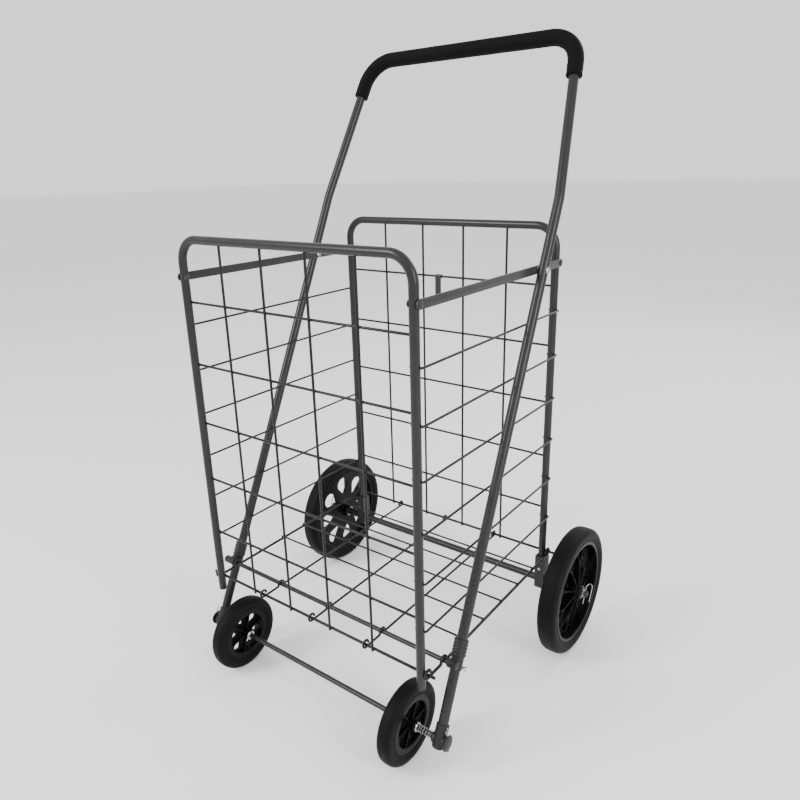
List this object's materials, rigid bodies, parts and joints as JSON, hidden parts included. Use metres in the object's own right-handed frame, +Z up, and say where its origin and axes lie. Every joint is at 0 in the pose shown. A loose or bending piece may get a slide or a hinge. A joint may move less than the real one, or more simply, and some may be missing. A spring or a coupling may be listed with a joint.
{
  "type": "rolling basket trolley",
  "caption": "Folding wire basket trolley: tall open basket on large rear and small front wheels, leaning tubular handle with a foam grip.",
  "frame": {"origin": "on the ground at the middle of the bounding box, cart standing open on its wheels", "axes": "+Z up; -Y towards the small front wheels; the handle leans back towards +Y; +X to the right of someone facing +Y"},
  "size_m": [0.639, 0.575, 1.077],
  "materials": {
    "tube_paint": "satin charcoal powder coat",
    "wire_paint": "satin charcoal powder coat",
    "link_paint": "satin grey powder coat",
    "zinc": "bright zinc plate",
    "foam": "matt black closed-cell foam",
    "moulding": "matt grey-black plastic",
    "rim_plastic": "matt black plastic",
    "tyre": "matt black rubber"
  },
  "bodies": {
    "rear_frame": {"rear_frame_tube": "tube_paint", "rear_wires": "wire_paint", "rear_tube_plugs": "moulding", "rear_pivot_rivets": "link_paint", "axle_bracket_left": "tube_paint", "axle_bracket_right": "tube_paint", "bracket_rivets": "zinc", "rear_axle": "zinc", "rear_cross_tube": "tube_paint", "rear_spacers": "tube_paint", "rear_washers": "zinc", "rear_clips": "zinc", "rear_axle_caps": "moulding"},
    "link_bars": {"link_bar_left": "link_paint", "link_bar_right": "link_paint"},
    "front_frame": {"front_frame_tube": "tube_paint", "front_wires": "wire_paint", "front_tube_plugs": "moulding", "front_pivot_rivets": "link_paint"},
    "floor_panel": {"floor_long_wires": "wire_paint", "floor_cross_wires": "wire_paint"},
    "handle_frame": {"handle_tube": "tube_paint", "foam_grip": "foam", "handle_bolts": "zinc", "handle_spacers": "zinc", "cross_rod": "tube_paint", "sleeve_pins": "zinc", "rod_sleeve_left": "moulding", "rod_sleeve_right": "moulding", "foot_boot_left": "moulding", "foot_boot_right": "moulding", "front_axle": "tube_paint", "front_axle_caps": "moulding", "front_cotters": "zinc", "front_springs": "zinc", "front_washers": "zinc"},
    "latch": {"latch_strap": "link_paint"},
    "side_wire_pair_1": {"side_wires_1": "wire_paint"},
    "side_wire_pair_2": {"side_wires_2": "wire_paint"},
    "side_wire_pair_3": {"side_wires_3": "wire_paint"},
    "side_wire_pair_4": {"side_wires_4": "wire_paint"},
    "side_wire_pair_5": {"side_wires_5": "wire_paint"},
    "side_wire_pair_6": {"side_wires_6": "wire_paint"},
    "front_wheel_left": {"front_tyre_left": "tyre", "front_rim_left": "rim_plastic"},
    "front_wheel_right": {"front_tyre_right": "tyre", "front_rim_right": "rim_plastic"},
    "rear_wheel_left": {"rear_tyre_left": "tyre", "rear_rim_left": "rim_plastic"},
    "rear_wheel_right": {"rear_tyre_right": "tyre", "rear_rim_right": "rim_plastic"}
  },
  "joints": [
    {"name": "fold", "type": "hinge", "parent": "rear_frame", "child": "link_bars", "pos_m": [0, 0.17, 0.7175], "axis": [-1, 0, 0], "range_deg": [0, 78]},
    {"name": "front_frame_pivot", "type": "hinge", "parent": "link_bars", "child": "front_frame", "pos_m": [0, -0.23, 0.7175], "axis": [1, 0, 0], "range_deg": [0, 78]},
    {"name": "handle_pivot", "type": "hinge", "parent": "link_bars", "child": "handle_frame", "pos_m": [0, 0.0841, 0.7175], "axis": [1, 0, 0], "range_deg": [0, 97.5]},
    {"name": "floor_fold", "type": "hinge", "parent": "rear_frame", "child": "floor_panel", "pos_m": [0, 0.1739, 0.1776], "axis": [-1, 0, 0], "range_deg": [0, 78]},
    {"name": "side_wire_fold_1", "type": "hinge", "parent": "rear_frame", "child": "side_wire_pair_1", "pos_m": [0, 0.17, 0.2535], "axis": [-1, 0, 0], "range_deg": [0, 78]},
    {"name": "side_wire_fold_2", "type": "hinge", "parent": "rear_frame", "child": "side_wire_pair_2", "pos_m": [0, 0.17, 0.3305], "axis": [-1, 0, 0], "range_deg": [0, 78]},
    {"name": "side_wire_fold_3", "type": "hinge", "parent": "rear_frame", "child": "side_wire_pair_3", "pos_m": [0, 0.17, 0.4075], "axis": [-1, 0, 0], "range_deg": [0, 78]},
    {"name": "side_wire_fold_4", "type": "hinge", "parent": "rear_frame", "child": "side_wire_pair_4", "pos_m": [0, 0.17, 0.4845], "axis": [-1, 0, 0], "range_deg": [0, 78]},
    {"name": "side_wire_fold_5", "type": "hinge", "parent": "rear_frame", "child": "side_wire_pair_5", "pos_m": [0, 0.17, 0.5615], "axis": [-1, 0, 0], "range_deg": [0, 78]},
    {"name": "side_wire_fold_6", "type": "hinge", "parent": "rear_frame", "child": "side_wire_pair_6", "pos_m": [0, 0.17, 0.6385], "axis": [-1, 0, 0], "range_deg": [0, 78]},
    {"name": "rear_wheel_spin_left", "type": "hinge", "parent": "rear_frame", "child": "rear_wheel_left", "pos_m": [-0.282, 0.17, 0.1175], "axis": [1, 0, 0], "continuous": true},
    {"name": "front_wheel_spin_left", "type": "hinge", "parent": "handle_frame", "child": "front_wheel_left", "pos_m": [-0.1864, -0.2215, 0.066], "axis": [1, 0, 0], "continuous": true},
    {"name": "rear_wheel_spin_right", "type": "hinge", "parent": "rear_frame", "child": "rear_wheel_right", "pos_m": [0.282, 0.17, 0.1175], "axis": [1, 0, 0], "continuous": true},
    {"name": "front_wheel_spin_right", "type": "hinge", "parent": "handle_frame", "child": "front_wheel_right", "pos_m": [0.1864, -0.2215, 0.066], "axis": [1, 0, 0], "continuous": true},
    {"name": "latch_swing", "type": "hinge", "parent": "rear_frame", "child": "latch", "pos_m": [-0.011, 0.1734, 0.678], "axis": [1, 0, 0], "range_deg": [-90, 90]}
  ],
  "couplings": [
    {"joint": "front_frame_pivot", "follows": "fold", "ratio": 1},
    {"joint": "handle_pivot", "follows": "fold", "ratio": 1.25},
    {"joint": "floor_fold", "follows": "fold", "ratio": 1},
    {"joint": "side_wire_fold_1", "follows": "fold", "ratio": 1},
    {"joint": "side_wire_fold_2", "follows": "fold", "ratio": 1},
    {"joint": "side_wire_fold_3", "follows": "fold", "ratio": 1},
    {"joint": "side_wire_fold_4", "follows": "fold", "ratio": 1},
    {"joint": "side_wire_fold_5", "follows": "fold", "ratio": 1},
    {"joint": "side_wire_fold_6", "follows": "fold", "ratio": 1}
  ]
}
